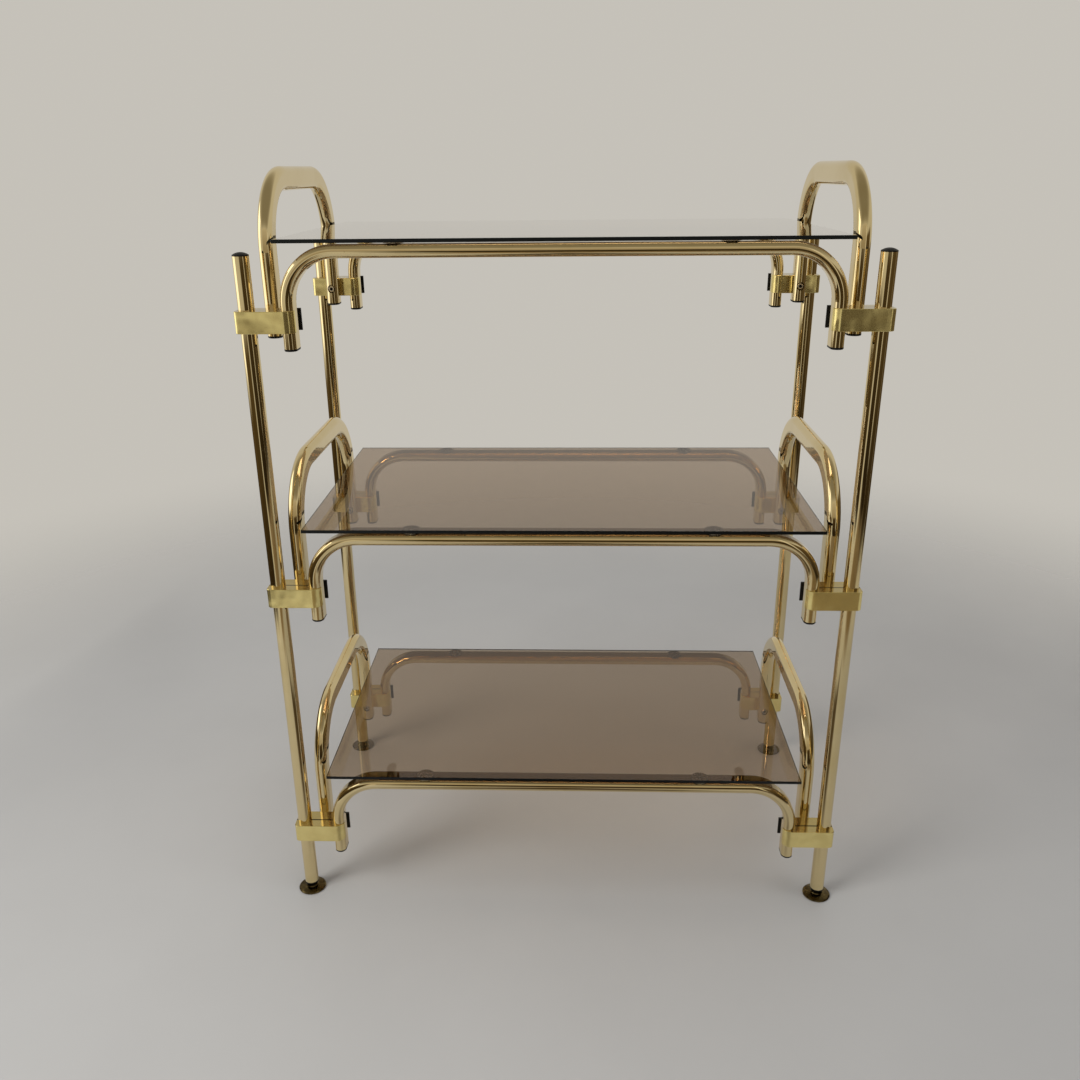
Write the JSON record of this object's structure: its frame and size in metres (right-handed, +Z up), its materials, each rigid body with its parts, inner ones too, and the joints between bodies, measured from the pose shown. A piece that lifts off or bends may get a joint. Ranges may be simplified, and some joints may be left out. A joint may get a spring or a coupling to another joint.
{
  "type": "etagere",
  "caption": "Free-standing open shelf unit: bent brass-plated tube rails and side hoops in two-jaw clamps on round uprights carry smoked glass shelves.",
  "frame": {"origin": "on the floor, midway between the four uprights", "axes": "+Z up, +X to the right along the shelves, -Y towards the front"},
  "size_m": [0.888, 0.468, 1.1375],
  "materials": {
    "polished_brass": "polished plate",
    "satin_brass": "satin plated casting",
    "smoked_glass": "polished, smoked grey-brown",
    "black_plastic": "matt moulded",
    "clear_plastic": "soft clear",
    "dark_steel": "blackened",
    "thread_steel": "zinc plated",
    "bronze": "aged dark bronze"
  },
  "bodies": {
    "frame": {"clamp_bottom_back_left_inner_jaw": "satin_brass", "clamp_bottom_back_left_outer_jaw": "satin_brass", "clamp_bottom_back_right_inner_jaw": "satin_brass", "clamp_bottom_back_right_outer_jaw": "satin_brass", "clamp_bottom_front_left_inner_jaw": "satin_brass", "clamp_bottom_front_left_outer_jaw": "satin_brass", "clamp_bottom_front_right_inner_jaw": "satin_brass", "clamp_bottom_front_right_outer_jaw": "satin_brass", "clamp_middle_back_left_inner_jaw": "satin_brass", "clamp_middle_back_left_outer_jaw": "satin_brass", "clamp_middle_back_right_inner_jaw": "satin_brass", "clamp_middle_back_right_outer_jaw": "satin_brass", "clamp_middle_front_left_inner_jaw": "satin_brass", "clamp_middle_front_left_outer_jaw": "satin_brass", "clamp_middle_front_right_inner_jaw": "satin_brass", "clamp_middle_front_right_outer_jaw": "satin_brass", "clamp_screws": "dark_steel", "clamp_strips": "black_plastic", "clamp_top_back_left_inner_jaw": "satin_brass", "clamp_top_back_left_outer_jaw": "satin_brass", "clamp_top_back_right_inner_jaw": "satin_brass", "clamp_top_back_right_outer_jaw": "satin_brass", "clamp_top_front_left_inner_jaw": "satin_brass", "clamp_top_front_left_outer_jaw": "satin_brass", "clamp_top_front_right_inner_jaw": "satin_brass", "clamp_top_front_right_outer_jaw": "satin_brass", "foot_inserts": "black_plastic", "glass_pads": "clear_plastic", "hoop_bottom_left": "polished_brass", "hoop_bottom_right": "polished_brass", "hoop_middle_left": "polished_brass", "hoop_middle_right": "polished_brass", "hoop_plugs": "black_plastic", "hoop_top_left": "polished_brass", "hoop_top_right": "polished_brass", "rail_bottom_back": "polished_brass", "rail_bottom_front": "polished_brass", "rail_middle_back": "polished_brass", "rail_middle_front": "polished_brass", "rail_plugs": "black_plastic", "rail_top_back": "polished_brass", "rail_top_front": "polished_brass", "upright_back_left": "polished_brass", "upright_back_right": "polished_brass", "upright_caps": "black_plastic", "upright_front_left": "polished_brass", "upright_front_right": "polished_brass"},
    "foot_disc_back_left": {"foot_disc_back_left": "bronze"},
    "foot_disc_back_right": {"foot_disc_back_right": "bronze"},
    "foot_disc_front_left": {"foot_disc_front_left": "bronze"},
    "foot_disc_front_right": {"foot_disc_front_right": "bronze"},
    "foot_stem_back_left": {"foot_stem_back_left": "thread_steel"},
    "foot_stem_back_right": {"foot_stem_back_right": "thread_steel"},
    "foot_stem_front_left": {"foot_stem_front_left": "thread_steel"},
    "foot_stem_front_right": {"foot_stem_front_right": "thread_steel"},
    "glass_bottom_shelf": {"glass_bottom": "smoked_glass"},
    "glass_middle_shelf": {"glass_middle": "smoked_glass"},
    "glass_top_shelf": {"glass_top": "smoked_glass"}
  },
  "joints": [
    {"name": "glass_bottom_lift", "type": "slide", "parent": "frame", "child": "glass_bottom_shelf", "axis": [0, 0, 1], "range_m": [0, 0.12]},
    {"name": "glass_middle_lift", "type": "slide", "parent": "frame", "child": "glass_middle_shelf", "axis": [0, 0, 1], "range_m": [0, 0.12]},
    {"name": "glass_top_lift", "type": "slide", "parent": "frame", "child": "glass_top_shelf", "axis": [0, 0, 1], "range_m": [0, 0.2]},
    {"name": "foot_front_left_rise", "type": "slide", "parent": "frame", "child": "foot_stem_front_left", "axis": [0, 0, -1], "range_m": [-0.0035, 0.015]},
    {"name": "foot_front_left_turn", "type": "hinge", "parent": "foot_stem_front_left", "child": "foot_disc_front_left", "pos_m": [-0.422, -0.212, 0], "axis": [0, 0, -1], "range_deg": [-1020, 4330]},
    {"name": "foot_front_right_rise", "type": "slide", "parent": "frame", "child": "foot_stem_front_right", "axis": [0, 0, -1], "range_m": [-0.0035, 0.015]},
    {"name": "foot_front_right_turn", "type": "hinge", "parent": "foot_stem_front_right", "child": "foot_disc_front_right", "pos_m": [0.422, -0.212, 0], "axis": [0, 0, -1], "range_deg": [-1020, 4330]},
    {"name": "foot_back_left_rise", "type": "slide", "parent": "frame", "child": "foot_stem_back_left", "axis": [0, 0, -1], "range_m": [-0.0035, 0.015]},
    {"name": "foot_back_left_turn", "type": "hinge", "parent": "foot_stem_back_left", "child": "foot_disc_back_left", "pos_m": [-0.422, 0.212, 0], "axis": [0, 0, -1], "range_deg": [-1020, 4330]},
    {"name": "foot_back_right_rise", "type": "slide", "parent": "frame", "child": "foot_stem_back_right", "axis": [0, 0, -1], "range_m": [-0.0035, 0.015]},
    {"name": "foot_back_right_turn", "type": "hinge", "parent": "foot_stem_back_right", "child": "foot_disc_back_right", "pos_m": [0.422, 0.212, 0], "axis": [0, 0, -1], "range_deg": [-1020, 4330]}
  ],
  "couplings": [
    {"joint": "foot_front_left_turn", "follows": "foot_front_left_rise", "rad_per_m": 5026.5},
    {"joint": "foot_front_right_turn", "follows": "foot_front_right_rise", "rad_per_m": 5026.5},
    {"joint": "foot_back_left_turn", "follows": "foot_back_left_rise", "rad_per_m": 5026.5},
    {"joint": "foot_back_right_turn", "follows": "foot_back_right_rise", "rad_per_m": 5026.5}
  ]
}
